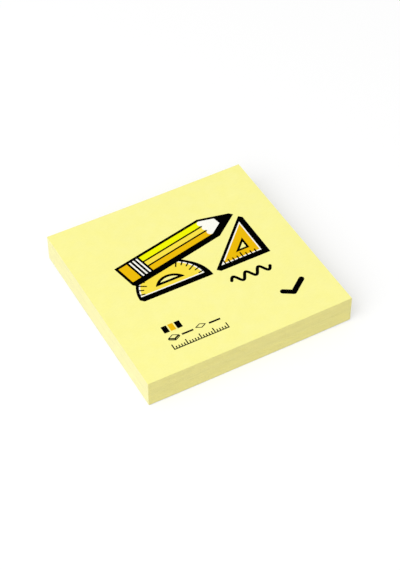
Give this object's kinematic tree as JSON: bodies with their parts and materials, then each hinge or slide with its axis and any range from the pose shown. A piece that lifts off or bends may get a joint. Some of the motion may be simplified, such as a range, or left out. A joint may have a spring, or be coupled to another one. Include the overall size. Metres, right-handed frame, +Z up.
{
  "type": "sticky note pad",
  "caption": "Square pad of pale yellow sticky notes, stacked on a backing sheet under a printed cover sheet and held together by a strip of adhesive along one edge.",
  "frame": {"origin": "middle of the underside of the backing sheet, on the surface that the pad lies on", "axes": "+X along a line of writing, +Y up the page to the bound edge, +Z up through the stack"},
  "size_m": [0.076, 0.076, 0.0104],
  "materials": {
    "cover_paper": "matte, printed",
    "note_paper": "matte",
    "backing_paper": "smooth, coated",
    "adhesive": "satin, low tack"
  },
  "bodies": {
    "root": {"cover_sheet": "cover_paper", "cover_adhesive_strip": "adhesive", "note_block": "note_paper", "backing_adhesive_strip": "adhesive", "backing_sheet": "backing_paper"}
  },
  "joints": []
}
